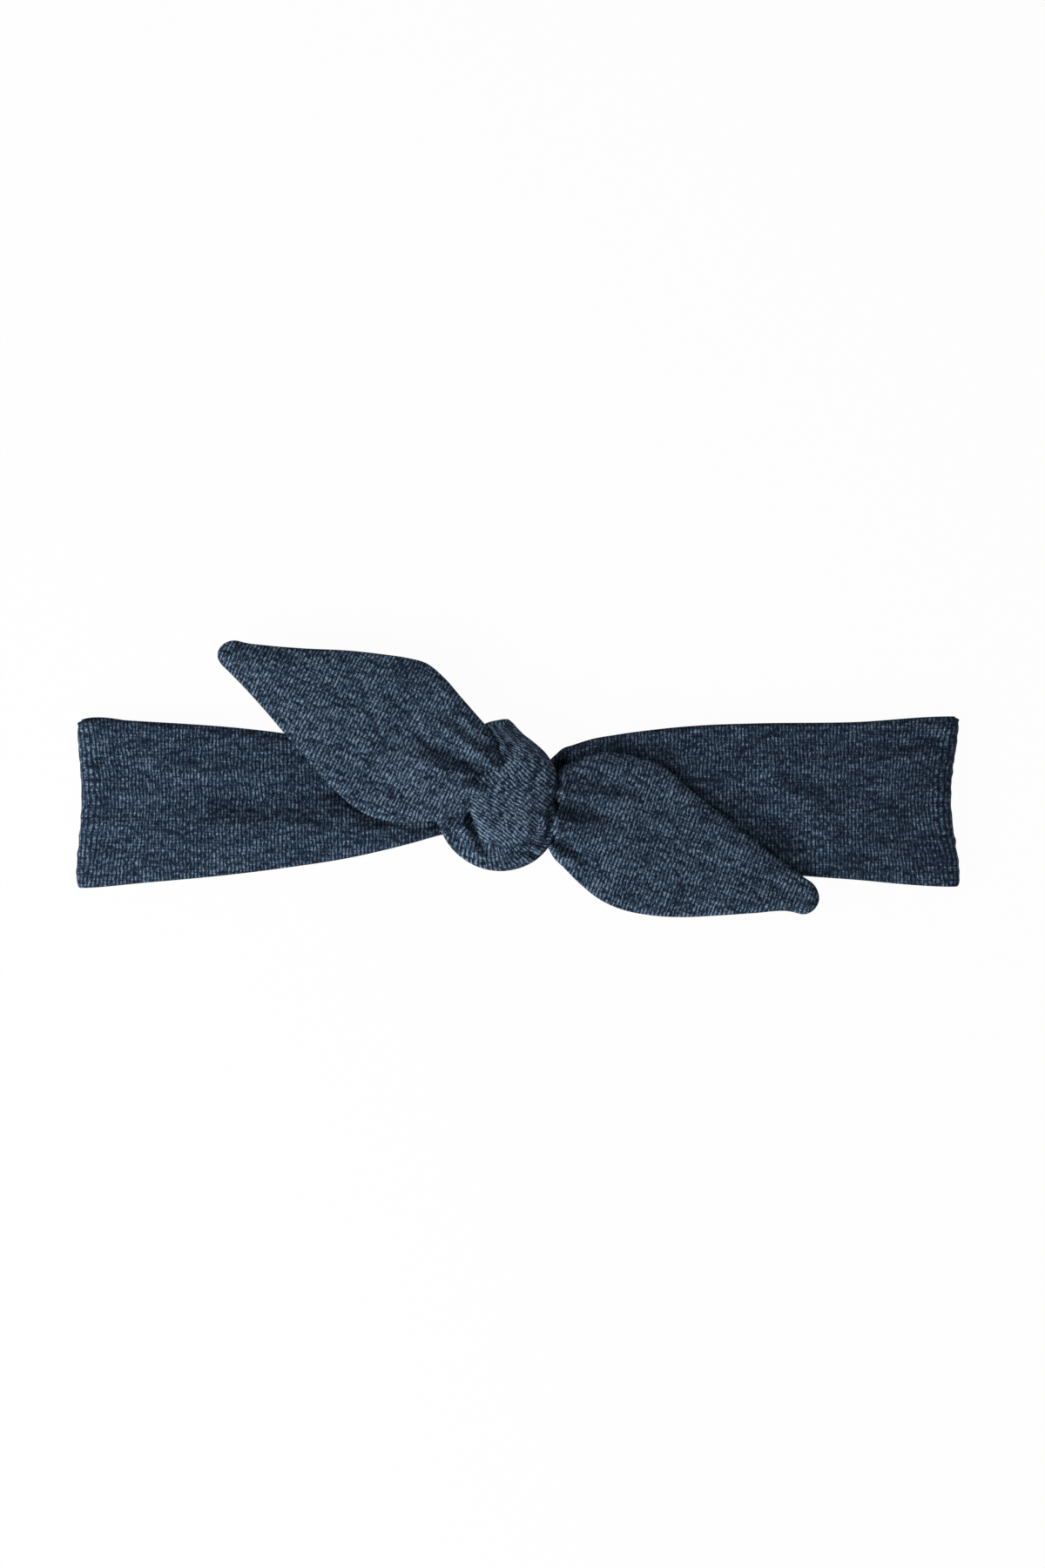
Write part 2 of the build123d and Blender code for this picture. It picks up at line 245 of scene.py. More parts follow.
class HeadbandKnot(bpy.types.PropertyGroup):
    """The knot and the wrap over its face."""

    underside: bpy.props.FloatProperty(
        name="Underside", description="How far the wrap swells underneath", default=2.2 * MM, unit="LENGTH")
    neck_folds: bpy.props.FloatProperty(
        name="Neck folds", description="Height of the folds at its neck", default=0.36 * MM, unit="LENGTH")


class HeadbandStage(bpy.types.PropertyGroup):
    """The floor, the light and the camera."""

    view_height: bpy.props.FloatProperty(
        name="View height", description="Height of the picture, on the floor",
        default=338.4 * MM, unit="LENGTH")
    camera_height: bpy.props.FloatProperty(
        name="Camera height", description="Camera above the floor", default=1.2, unit="LENGTH")
    key: bpy.props.FloatProperty(
        name="Key light", description="Power of the main light", default=2.9, unit="POWER")
    fill: bpy.props.FloatProperty(
        name="World", description="Strength of the light all round", default=0.22)


def settings(name):
    """One of the property groups, by its name on the scene."""
    return getattr(bpy.context.scene, f"headband_{name}")


# ------------------------------------------------------------------ materials
def put(tree, node, inputs):
    """Give a node its inputs, by name or number: each is a value, or the output of another node."""
    for name, value in inputs.items():
        if isinstance(value, bpy.types.NodeSocket):
            tree.links.new(value, node.inputs[name])
        else:
            node.inputs[name].default_value = value
    return node


def add_node(tree, kind, inputs, **choices):
    """A new shader node of a kind, with its choices and its inputs."""
    node = tree.nodes.new(f"ShaderNode{kind}")
    for name, value in choices.items():
        setattr(node, name, value)
    return put(tree, node, inputs)


def new_material(name):
    """An empty node material with its Principled shader: (material, node tree, shader)."""
    material = bpy.data.materials.new(name)
    material.use_nodes = True
    return material, material.node_tree, material.node_tree.nodes["Principled BSDF"]


def calculate(tree, operation, *values):
    """A Math node; each value is a number or a socket."""
    return add_node(tree, "Math", dict(enumerate(values)), operation=operation).outputs[0]


def noise(tree, vector, scale, detail, seed):
    """A noise texture's value; the vector is stretched by scale, and seed moves it elsewhere."""
    moved = {"Vector": vector, "Scale": (*scale, 1), "Location": (seed * 3.7, seed * 1.3, seed)}
    vector = add_node(tree, "Mapping", moved).outputs["Vector"]
    texture = {"Vector": vector, "Scale": 1.0, "Detail": detail, "Roughness": 0.65}
    return add_node(tree, "TexNoise", texture).outputs["Fac"]


def blend_colours(tree, amount, low, high):
    """A colour between low and high."""
    inputs = {"Factor": amount, 6: (*low, 1), 7: (*high, 1)}
    return add_node(tree, "Mix", inputs, data_type="RGBA").outputs[2]


def between(tree, value, low, high):
    """A value stretched so that low becomes 0 and high becomes 1, smoothly."""
    inputs = {"Value": value, "From Min": low, "From Max": high}
    return add_node(tree, "MapRange", inputs, interpolation_type="SMOOTHSTEP").outputs["Result"]


def finish_surface(tree, shader, colour, height, relief, roughness, strength=1.0):
    """Give a shader its colour, its roughness and its bumps, from a height value and as high as relief."""
    bump = add_node(tree, "Bump", {"Strength": strength, "Distance": relief, "Height": height})
    put(tree, shader, {"Base Color": colour, "Roughness": roughness, "Normal": bump.outputs["Normal"]})


def jersey_material():
    """Heathered jersey. Its UV map is in metres: U across the ribs and V along them."""
    sizes = settings("jersey")
    material, tree, shader = new_material("heathered_jersey")

    def math_of(operation, *values):
        return calculate(tree, operation, *values)

    def cloud(length, width, detail, seed):
        """Noise with patches of about this length across the ribs, and width along them."""
        return noise(tree, uv, (1 / length, 1 / width), detail, seed)

    uv = add_node(tree, "UVMap", {}).outputs["UV"]
    metres = add_node(tree, "SeparateXYZ", {"Vector": uv})
    sway = math_of("MULTIPLY", math_of("SUBTRACT", cloud(5 * MM, 7 * MM, 2, 1), 0.5), 1.6)
    ribs = math_of("ADD", math_of("DIVIDE", metres.outputs["X"], sizes.rib), sway)
    column = math_of("PINGPONG", ribs, 0.5)  # 0 between two ribs, 0.5 on a rib's middle
    rib = between(tree, column, 0.0, 0.34)
    rows = math_of("DIVIDE", metres.outputs["Y"], sizes.stitch)
    rows = math_of("ADD", math_of("MULTIPLY_ADD", column, 1.5, rows), sway)
    loop = between(tree, math_of("PINGPONG", rows, 0.5), 0.0, 0.3)
    knit = math_of("MULTIPLY", rib, math_of("MULTIPLY_ADD", loop, 0.5, 0.5))

    # each stitch takes its tone from the yarn, whose pale stretches run across the ribs
    cell = add_node(tree, "CombineXYZ", {"X": math_of("FLOOR", math_of("ADD", ribs, 0.5)),
                                         "Y": math_of("FLOOR", math_of("ADD", rows, 0.5))})
    chance = add_node(tree, "TexWhiteNoise", {"Vector": cell.outputs["Vector"]}, noise_dimensions="2D")
    strands = between(tree, cloud(0.34 * MM, 0.95 * MM, 3, 2), 0.36, 0.64)
    yarn = between(tree, cloud(2.4 * MM, 0.6 * MM, 3, 3), 0.33, 0.7)
    patches = between(tree, cloud(9 * MM, 2.2 * MM, 3, 4), 0.28, 0.74)
    tone = math_of("MULTIPLY_ADD", yarn, 0.46, -0.33)
    tone = math_of("MULTIPLY_ADD", chance.outputs["Value"], 0.26, tone)
    tone = math_of("MULTIPLY_ADD", patches, 0.34, tone)
    tone = math_of("MULTIPLY_ADD", strands, 0.78, tone)
    # each piece's colour is made darker by its share, times 0.15 of its tone, and lighter where the share is
    # below 0
    drawn = add_node(tree, "Attribute", {}, attribute_name="darker_share")
    tone_scale = math_of("MULTIPLY_ADD", drawn.outputs["Fac"], -0.15, 1.0)
    tone = math_of("MULTIPLY", tone, math_of("MULTIPLY", math_of("MULTIPLY_ADD", knit, 0.75, 0.25), tone_scale))

    ramp = add_node(tree, "ValToRGB", {"Fac": tone})
    stops = ((0.08, sizes.deep), (0.34, sizes.shade), (0.58, sizes.light), (0.88, sizes.fleck))
    while len(ramp.color_ramp.elements) < len(stops):
        ramp.color_ramp.elements.new(0.5)
    for element, (place, colour) in zip(ramp.color_ramp.elements, stops):
        element.position = place
        element.color = (*colour, 1)

    height = math_of("MULTIPLY_ADD", strands, 0.5, knit)
    finish_surface(tree, shader, ramp.outputs["Color"], height, sizes.relief, roughness=0.95, strength=0.8)
    put(tree, shader, {"Specular IOR Level": 0.12, "Sheen Weight": 0.05, "Sheen Tint": (*sizes.light, 1),
                       "Sheen Roughness": 0.5})
    return material


def object_axes(tree):
    """The X and Y of a place on the object, as sockets."""
    place = add_node(tree, "TexCoord", {}).outputs["Object"]
    axes = add_node(tree, "SeparateXYZ", {"Vector": place})
    return axes.outputs["X"], axes.outputs["Y"]


def stripes(tree, place, spacing):
    """0 and 0.5 in turn, every spacing metres along a place's value."""
    return calculate(tree, "PINGPONG", calculate(tree, "DIVIDE", place, spacing), 0.5)


def elastic_material():
    """White woven elastic tape: ribs along it, on Object coordinates."""
    material, tree, shader = new_material("woven_elastic")
    x, y = object_axes(tree)
    weave = calculate(tree, "MULTIPLY_ADD", stripes(tree, x, 0.5 * MM), 0.5, stripes(tree, y, 1.1 * MM))
    colour = blend_colours(tree, weave, (0.42, 0.42, 0.40), (0.72, 0.72, 0.70))
    finish_surface(tree, shader, colour, weave, 0.15 * MM, roughness=0.7)
    return material


def thread_material():
    """Twisted navy sewing thread, on Object coordinates."""
    material, tree, shader = new_material("sewing_thread")
    ply = stripes(tree, calculate(tree, "ADD", *object_axes(tree)), 0.25 * MM)
    colour = blend_colours(tree, ply, (0.015, 0.024, 0.04), (0.07, 0.10, 0.15))
    finish_surface(tree, shader, colour, ply, 0.06 * MM, roughness=0.6)
    return material


def give_material(piece, name, make):
    """Put one material on a piece, made once and shared."""
    piece.data.materials.clear()
    piece.data.materials.append(bpy.data.materials.get(name) or make())


# ------------------------------------------------------------------ making cloth
def add_cloth(name, along, round_it, place, cloth, darker_share=0.0):
    """A tube of cloth, a grid of so many points along it and round it. place(s, t) gives its points in
    millimetres, s along it and t round it, both from 0 to 1, and cloth(s, t) gives the same points on
    the flat cloth. Its colour is made darker by some share, or lighter below 0."""
    bpy.ops.object.select_all(action="DESELECT")
    bpy.ops.mesh.primitive_grid_add(x_subdivisions=along, y_subdivisions=round_it, size=2)
    piece = bpy.context.object
    mesh = piece.data
    piece.name = mesh.name = name
    grid = np.empty(len(mesh.vertices) * 3)
    mesh.vertices.foreach_get("co", grid)
    s, t = (grid.reshape(-1, 3)[:, :2].T + 1) / 2
    points = np.stack(place(s, t), axis=1)
    mesh.vertices.foreach_set("co", (points * MM).ravel())
    corners = np.empty(len(mesh.loops), int)
    mesh.loops.foreach_get("vertex_index", corners)
    flat = np.stack(cloth(s, t), axis=1) * MM
    mesh.uv_layers[0].data.foreach_set("uv", flat[corners].ravel())
    bpy.ops.object.mode_set(mode="EDIT")
    bpy.ops.mesh.select_all(action="SELECT")
    bpy.ops.mesh.remove_doubles(threshold=JOINED_WITHIN * MM)
    bpy.ops.mesh.normals_make_consistent(inside=False)
    bpy.ops.object.mode_set(mode="OBJECT")
    bpy.ops.object.shade_smooth()
    # the share by which this piece's colour is made darker, lighter below 0
    spread = mesh.attributes.new("darker_share", "FLOAT", "POINT")
    spread.data.foreach_set("value", [darker_share] * len(mesh.vertices))
    give_material(piece, "heathered_jersey", jersey_material)
    return piece


def tube_profile(t, edge, puff):
    """(place across, height) of a flattened tube's section at t: across from -1 to 1 and back."""
    angle = 2 * math.pi * t
    across = np.cos(angle)
    height = edge * np.sqrt(np.clip(1 - np.abs(across) ** 9, 0, 1)) + puff * (1 - across**2)
    return across, height * np.where(np.sin(angle) >= 0, 1, -1)


# ------------------------------------------------------------------ the loop
FRONT_LENGTH = TURN_X - INSIDE_KNOT_X
TURN_LENGTH = math.pi * FOLD_LINE_RADIUS
HALF_LOOP = 2 * TURN_X - INSIDE_KNOT_X + TURN_LENGTH
CASING_SEAM_X = 41
CASING_WIDE_X, CASING_NARROW_X = 42, 36  # where the cloth begins and ends to narrow
HOLLOW_GROWS, WAVER_GROWS, SLUMP_GROWS = (70, 93), (80, 94), (74, 92)  # x from where to where, at a fold
MOUTH_GATHERS, SEAM_GATHERS = 13, 8  # lengths over which the gathers fade
TUCKED_FROM, TUCKED_LENGTH = 3, 2.5  # in under the knot from its mouth
SEAM_WIDTH = 0.35


def front(x):
    """How far along the half loop a place on the leg is, from its end inside the knot."""
    return x - INSIDE_KNOT_X


def back(x):
    """How far along the half loop a place on the back is."""
    return HALF_LOOP - x


def near_fold(distance, low, high):
    """0 where x is below low, on the leg and on the back alike, and 1 from where it is high to the fold."""
    return ease(front(low), front(high), distance) * (1 - ease(back(high), back(low), distance))


def on_casing(distance):
    """0 on the wide cloth and 1 on the narrow casing behind the knot."""
    return ease(back(CASING_WIDE_X), back(CASING_NARROW_X), distance)


# The strip's top and bottom edges, at distances along each half of the loop.
back_edges = [(back(81), 17.0), (back(67), 15.4), (back(53), 12.0), (back(44), 8.6), (back(39.5), 7.2),
              (back(36), 7.3), (back(26), 7.0), (back(0), 6.8)]
top_edges = {
    "left": [(front(8), 4.0), (front(16), 6.2), (front(24), 8.6), (front(36), 12.0), (front(50), 14.7),
             (front(60), 15.9), (front(70), 16.7), (front(80), 17.3), (front(90), 17.8), (front(95), 17.6),
             (back(92), 18.2), *back_edges],
    "right": [(front(6.5), 8.2), (front(7.2), 9.2), (front(8.2), 10.1), (front(9.5), 11.3),
              (front(11.9), 12.2), (front(16.4), 13.6), (front(21), 14.4), (front(29), 15.5),
              (front(40), 16.5), (front(51), 16.9), (front(73), 17.2), (front(95), 18.4), *back_edges],
}
bottom_edges = {
    "left": [(front(8), -5.5), (front(16), -7.1), (front(24), -9.3), (front(36), -12.1), (front(50), -14.3),
             (front(62), -15.8), (front(80), -17.5), (front(95), -18.7), *[(d, -y) for d, y in back_edges]],
    "right": [(front(8), -4.5), (front(13.5), -6.0), (front(21), -8.5), (front(29), -10.9),
              (front(40), -13.3), (front(51), -15.0), (front(73), -16.9), (front(95), -18.4),
              *[(d, -y) for d, y in back_edges]],
}

# From the top edge to the rolled seam's line, at distances along each half of the loop.
seam_insets = {"left": [(front(8), 1.4), (front(55), 1.4), (front(75), 0.9), (front(95), 0.5)],
               "right": [(front(8), 0.8), (front(60), 0.7), (front(95), 0.5)]}

# Long soft creases and ridges on the legs' fronts, each (points, depth, width, lean, hold), in millimetres.
leg_creases = {
    "left": [([(-30, 1.0), (-36, 4.0), (-41, 5.2), (-47, 4.4), (-54, 2.8), (-62, 2.0), (-84, 1.4)],
              3.8, 3.0, 0.5, 0.35),
             ([(-14, -4.7), (-22, -5.1), (-30, -4.6), (-37, -2.9)], 1.6, 1.0, 0.0),
             ([(-46, -4.4), (-58, -4.6), (-74, -5.4)], -0.9, 2.6, 0.5),
             ([(-20, -6.4), (-36, -8.8), (-56, -10.6)], 0.6, 1.0, 0.0),
             ([(-95, -10.4), (-84, -9.6), (-70, -9.8)], 0.6, 1.6, 0.0),
             ([(-95, 7.6), (-84, 6.4), (-70, 6.8)], 0.6, 1.6, 0.0)],
    "right": [([(8.4, 7.0), (10.9, 9.0), (14, 10.2), (21, 11.4), (36, 10.6), (50, 11.6), (66, 12.4)],
               0.7, 1.1, -0.3),
              ([(8.4, 7.0), (10.4, 8.7), (12.6, 9.6)], 1.4, 0.8),
              ([(7.2, 10.6), (8.5, 9.8), (8.8, 7.5)], 1.8, 0.6, 0.0, 0.8),
              ([(62, -8.5), (55, -3.0), (48, 2.4), (40, 6.0), (34, 7.6)], 1.9, 3.0, 0.0, 0.2),
              ([(60, 4.6), (72, 2.6), (88, 1.4)], 0.9, 2.2, 0.0),
              ([(95, 13.6), (88, 13.2), (78, 12.0), (68, 8.0)], 1.5, 1.5, 0.0),
              ([(95, -8.4), (86, -7.4), (74, -9.4)], 0.8, 1.8, 0.0)],
}


def half_loop(side_name, near, far):
    """The points and the flat cloth of a stretch of one half of the loop, as functions for add_cloth."""
    sizes = settings("loop")
    side = SIDES[side_name]
    puff, gathers, ruching = sizes.puff / MM, sizes.gathers / MM, sizes.ruching / MM
    creasing = settings("jersey").creasing / MM
    step_down, hollow = sizes.seam_depth / MM, sizes.fold_hollow / MM

    def section(s, t):
        distance = near + (far - near) * s
        top, bottom = curve(top_edges[side_name], distance), curve(bottom_edges[side_name], distance)
        across, height = tube_profile(t, STRIP_HALF, puff)
        gather = 0.35 * on_casing(distance) * ripples(distance / 3, 2 + side, (5, 7, 8))
        y = (top + bottom) / 2 + ((top - bottom) / 2 + gather) * across
        return distance, y, across, height, top

    def place(s, t):
        distance, y, across, height, top = section(s, t)
        turn = np.clip((distance - FRONT_LENGTH) / FOLD_LINE_RADIUS, 0, math.pi)
        past = np.clip(distance - FRONT_LENGTH - TURN_LENGTH, 0, None)
        x = np.minimum(distance, FRONT_LENGTH) + INSIDE_KNOT_X - past
        outer = np.where(height > 0, 1.0, 0.25)
        middle = 1 - np.abs(across) ** 6  # nothing moves at the very edge
        on_front = distance < FRONT_LENGTH
        cased = on_casing(distance)

        # gathers that fan out from the knot's mouth, and from the casing's seam
        at_mouth = fading(distance, front(MOUTH_X), MOUTH_GATHERS)
        folds = gathers * at_mouth * ripples(math.pi * across, 3 + side, (3, 4, 6, 7))
        at_seam = fading(np.abs(distance - back(CASING_SEAM_X)), 0, SEAM_GATHERS) * (1 - on_front)
        folds += 0.55 * gathers * at_seam * ripples(math.pi * across, 7 + side, (5, 7, 9, 11))
        folds += creasing * wrinkles(distance, y, 4 + side) * (1 - cased)
        for each in leg_creases[side_name]:
            folds -= np.where(on_front, crease(side * x, y, *each), 0)
        # the casing's ruching, drawn up on the elastic
        wave = ripples(distance / 3 + 0.5 * np.sin(across * 2.1 + side), 5 + side, (3, 4, 5, 7))
        folds += ruching * cased * wave
        lift = height + outer * middle * folds * np.sign(height)
        # the elastic makes the casing thicker
        lift += cased * CASING_EXTRA * np.sign(height) * middle
        # the rolled seam along the top edge: a fine ridge, and lower beyond it
        beyond = y - top + curve(seam_insets[side_name], distance)
        rolled = ease(-0.1, 0.5, beyond) - 0.5 * hump(beyond, -0.2, SEAM_WIDTH)
        lift -= step_down * rolled * (height > 0) * (1 - cased)

        # inside the knot a leg closes to a flat end that is tucked up
        tucked = np.clip((front(MOUTH_X - TUCKED_FROM) - distance) / TUCKED_LENGTH, 0, 1)
        lift *= np.sqrt(1 - tucked**2)

        centre_z = np.where(past > 0, cased * CASING_EXTRA, -0.6 * side * tucked)
        # the fold's edge is drawn in at its middle, and wavers a little
        hang = hollow * (1 - across**2) ** 2 * near_fold(distance, *HOLLOW_GROWS)
        waver = 0.3 * np.sin(2.5 * across + side) - 0.4 * across**8 - 0.5
        hang += waver * near_fold(distance, *WAVER_GROWS)
        x = x + (FOLD_LINE_RADIUS + lift) * np.sin(turn) - hang
        z = FOLD_MIDDLE_Z + (FOLD_LINE_RADIUS + lift) * np.cos(turn) + centre_z
        # each end lies a little flatter than the middle
        z *= 1 - sizes.slump * near_fold(distance, *SLUMP_GROWS)
        return side * x, y, np.maximum(z, 0.02)

    def cloth(s, t):
        distance, y, across, height, top = section(s, t)
        round_tube = np.where(height > 0, y, 2 * top - y)
        return side * distance + UV_APART["loop"] * (side > 0), round_tube

    return place, cloth


def stretch_of_loop(side_name, name, near, far, bodies, bend=None):
    """A stretch of the loop that rides on one body, or, where a bend is given, is baked in place and rides on
    none.
    """
    rows = max(12, round((far - near) / ROW_LENGTH))
    place, cloth = half_loop(side_name, near, far)
    # the band's colour is made darker by a full share
    piece = add_cloth(f"{side_name}_{name}", rows, POINTS_ROUND_BAND, place, cloth, darker_share=1.0)
    if bend:
        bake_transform(piece)
    else:
        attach(piece, *bodies)
    # the strip is one cloth folded lengthwise, so its cut is twice as wide as it lies
    return piece


class HEADBAND_OT_loop(bpy.types.Operator):
    """Make the band: both legs, the folds, the gathered back and its casing"""

    bl_idname = "headband.loop"
    bl_label = "Band"

    def execute(self, context):
        # two stretches meet halfway between two bends
        middles = [(a + b) / 2 for a, b in zip(BENDS, [*BENDS[1:], FOLD_X])]
        for name, side in SIDES.items():
            def bend(x, z, before=-BEND_REACH, after=BEND_REACH, side=side):
                """Where the cloth starts and ends to bend, about a place at x and height z."""
                return (side * (x + before), 0, z), (side * (x + after), 0, z)

            # the loop is open between the knot and the right leg, so that leg's end rides with the leg
            at_mouth = ((["knot", "left_leg_1"], bend(MOUTH_X, TOP_OF_LEG, *MOUTH_BEND)) if name == "left"
                        else (["right_leg_1"], None))
            piece = stretch_of_loop(name, "leg_at_mouth", 0, front(middles[0]), *at_mouth)
            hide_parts(f"{name}_leg_face_1", f"{name}_leg_lining_1")
            for i in (1, 2):
                for part, z, ends in (("leg", TOP_OF_LEG, (front(middles[i - 1]), front(middles[i]))),
                                      ("back", 0.0, (back(middles[i]), back(middles[i - 1])))):
                    bodies = [f"{name}_{part}_{i}", f"{name}_{part}_{i + 1}"]
                    piece = stretch_of_loop(name, f"{part}_{i}", *ends, bodies, bend(BENDS[i], z))
                    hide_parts(f"{name}_{part}_face_{i + 1}", f"{name}_{part}_lining_{i + 1}")
            # the plane between the fold's two layers, which the slump tilts, is given as the fold's bend, and
            # the fold is baked in place
            between_layers = Vector((side * FOLD_X, 0, FOLD_MIDDLE_Z * (1 - settings("loop").slump)))
            across_plane = Vector((side * FOLD_PLANE_TILT, 0, 1)) * FOLD_PLANE_REACH
            bodies = [f"{name}_back_3", f"{name}_leg_3"]
            stretch_of_loop(name, "fold", front(middles[2]), back(middles[2]), bodies,
                            (between_layers - across_plane, between_layers + across_plane))
            bodies = ["back_centre", f"{name}_back_1"]
            piece = stretch_of_loop(name, "casing", back(middles[0]), back(0), bodies, bend(BENDS[0], 0.0))
            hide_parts(f"{name}_casing_face", f"{name}_casing_lining")
            if name == "left":  # one of the two stands for the middle too
                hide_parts("back_casing_face", "back_casing_lining")
        for name, node in frame["nodes"].items():
            if name.endswith("elastic"):
                give_material(node, "woven_elastic", elastic_material)
            if name.endswith("stitches"):
                give_material(node, "sewing_thread", thread_material)
        return {"FINISHED"}


# ------------------------------------------------------------------ the tails
# A tail's root is (x, y) and its heading in degrees. Its middle line runs from the root. Its widths to
# the left (plus) and the right (minus) of that line, and the height of its middle, are at distances
# along it. Creases are as on the legs.
tails = {
    "left": {
        "root": (-6.9, 5.5),
        "heading": 154.8,
        "length": 63.6,
        "plus": [(-4, 4.0), (0, 8.6), (3, 11.2), (6, 13.4), (10, 15.8), (14, 17.3), (19, 18.3), (24, 17.8),
                 (30, 15.8), (36, 13.2), (42, 10.6), (50, 7.0), (58, 3.8), (61, 2.8), (63.6, 2.6)],
        "minus": [(-4, 4.0), (0, 7.2), (3, 9.2), (7, 11.0), (12, 13.2), (17, 15.4), (22, 16.6), (26, 15.9),
                  (31, 14.4), (38, 12.0), (47, 8.3), (55, 5.3), (59, 4.0), (61.5, 3.6), (63.6, 3.5)],
        "heights": [(-4, 9.6), (3, 10.2), (9, 10.1), (16, 9.8), (26, 9.4), (36, 9.2), (44, 9.1), (52, 8.9),
                    (61, 8.6)],
        "creases": [([(-5.0, 4.6), (-7.3, 6.0), (-13.1, 9.4), (-21, 13.9), (-27, 17)], 3.8, 1.5),
                    ([(-8.5, 4.5), (-11, 4.8), (-17.5, 5.4)], 1.9, 0.8),
                    ([(-8.5, 1.2), (-12, 0.2), (-19, -0.6)], 1.2, 0.9),
                    ([(-9.0, -2.2), (-12, -2.4), (-16, -2.8)], 1.2, 0.7),
                    ([(-6.5, 10.5), (-10, 14), (-15, 19)], 0.5, 0.9),
                    ([(-60, 31.6), (-50, 29.6), (-40, 27.6)], -0.9, 3.0, -0.4),
                    ([(-24, 2.5), (-34, 6.5), (-44, 12)], 0.6, 2.2)],
    },
    "right": {
        "root": (5.9, -1.1),
        "heading": -19.3,
        "length": 62.5,
        "plus": [(-4, 4.0), (0, 6.6), (1.4, 8.6), (2.8, 9.9), (4, 11.4), (5, 13.0), (7.2, 14.8), (9, 15.6),
                 (13, 16.4), (17, 16.9), (21, 16.5), (30, 13.2), (36, 11.2), (41, 9.4), (50, 6.4), (58, 4.1),
                 (62.5, 3.0)],
        "minus": [(-4, 2.4), (0, 5.2), (3, 7.6), (5.4, 9.7), (7.9, 10.9), (12.7, 13.2), (17.2, 14.8),
                  (21.5, 15.4), (29, 14.6), (36, 12.6), (42, 10.2), (50, 6.8), (57, 3.9), (62.5, 3.6)],
        "heights": [(-4, 9.0), (3, 9.8), (9, 10.0), (16, 9.7), (26, 9.2), (36, 9.0), (44, 9.0), (52, 8.9),
                    (61, 8.7)],
        "creases": [([(8.8, 8.4), (8.8, 4.5), (8.5, 1.0), (7.6, -1.6), (7.1, -4.1), (6.9, -7.6),
                      (6.6, -10.6)], 2.6, 0.6, 0.0, 0.9),
                    ([(5.6, 0.2), (8.5, -1.0), (12.5, -1.6), (17, -2.2), (26, -5.0)], 4.0, 1.3),
                    ([(6.0, 1.2), (9.5, 3.0), (13, 5.0), (17, 7.0)], 1.0, 0.8),
                    ([(6.0, -7.2), (9.5, -9.0), (13.5, -10.8), (19, -13.2)], 2.8, 1.1),
                    ([(6.0, 3.4), (9.5, 5.7), (12.4, 7.6)], 1.1, 0.6),
                    ([(6.6, -4.0), (11, -4.9), (18, -6.6)], 0.6, 0.9),
                    ([(18, 4.0), (30, 1.6), (42, -4.0)], 0.7, 2.2),
                    ([(60, -19.4), (48, -15), (36, -11)], 0.6, 1.6)],
    },
}


def tail_place(tail, along, aside=0.0):
    """The (x, y) of a place along a tail and to the left of its middle line."""
    heading = math.radians(tail["heading"])
    return (tail["root"][0] + along * math.cos(heading) - aside * math.sin(heading),
            tail["root"][1] + along * math.sin(heading) + aside * math.cos(heading))


def tail_surface(name, near, far):
    """The points and the flat cloth of a stretch of one tail."""
    tail, side = tails[name], SIDES[name]
    sizes = settings("tails")
    edge, puff, seam_inset = sizes.edge / MM, sizes.puff / MM, sizes.seam_inset / MM
    tip_radius = sizes.tip_radius / MM
    tip_start = tail["length"] - tip_radius

    def section(s, t):
        share = np.sin(s * math.pi / 2) if far >= tail["length"] else s  # rows crowd together at the tip
        along = near + (far - near) * share
        across, height = tube_profile(t, edge, puff)
        round_tip = np.sqrt(np.clip(1 - (np.clip(along - tip_start, 0, None) / tip_radius) ** 2, 0, 1))
        wide = np.where(across > 0, curve(tail["plus"], along), curve(tail["minus"], along)) * round_tip
        return along, across * wide, height * round_tip, across, wide

    def place(s, t):
        along, aside, height, across, wide = section(s, t)
        outer = np.where(height > 0, 1.0, 0.15)
        middle = 1 - np.abs(across) ** 6
        at_root = fading(along, 2, 7)
        folds = 0.5 * at_root * ripples(math.pi * across, 11 + side, (3, 4, 6))
        folds += settings("jersey").creasing / MM * wrinkles(along, aside, 8 + side)
        x, y = tail_place(tail, along, aside)
        for each in tail["creases"]:
            folds -= crease(x, y, *each)
        # the root is gathered thicker, and the underside lies flatter
        height = height * (1 + 1.3 * at_root) * np.where(height > 0, 1, edge / (edge + puff))
        seam = hump(np.sign(across) * (wide - seam_inset), aside, SEAM_WIDTH) * (height > 0)
        seam *= TAIL_SEAM_DEPTH * ease(4, 10, along)
        lift = height + (outer * folds * np.sign(height) - seam) * middle
        return x, y, curve(tail["heights"], along) + lift

    def cloth(s, t):
        along, aside, height, across, wide = section(s, t)
        round_tube = np.where(height > 0, aside, 2 * wide - aside)
        return along + UV_APART["tails"] * (2 + side), round_tube + UV_ASIDE["tails"]

    return place, cloth


class HEADBAND_OT_tails(bpy.types.Operator):
    """Make the two leaf-shaped tails"""

    bl_idname = "headband.tails"
    bl_label = "Tails"

    def execute(self, context):
        for name, tail in tails.items():
            lift, curl = (
                (Vector(joints[f"{name}_{joint}"]["pos_m"]) / MM - Vector((*tail["root"], 0))).xy.length
                for joint in ("tail_lift", "tip_curl"))
            middle = (lift + curl) / 2
            self.stretch(name, "root", TAIL_START, middle, (f"{name}_neck", f"{name}_tail"), lift,
                         ("tail_neck", "tail_face", "tail_lining"))
            self.stretch(name, "leaf", middle, tail["length"], (f"{name}_tail", f"{name}_tip"), curl,
                         ("tip_face", "tip_lining"))
        return {"FINISHED"}

    def stretch(self, name, part, near, far, bodies, joint, stands_for):
        """The root or the leaf of a tail, baked in place where it lies; the bodies and the joint are not
        used.
        """
        place, cloth = tail_surface(name, near, far)
        piece = add_cloth(f"{name}_tail_{part}", *TAIL_GRIDS[part], place, cloth)
        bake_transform(piece)
        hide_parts(*(f"{name}_{node}" for node in stands_for))


# ------------------------------------------------------------------ the knot
WRAP_FOOT = 9.3  # height at which the wrap's sides meet what lies under it

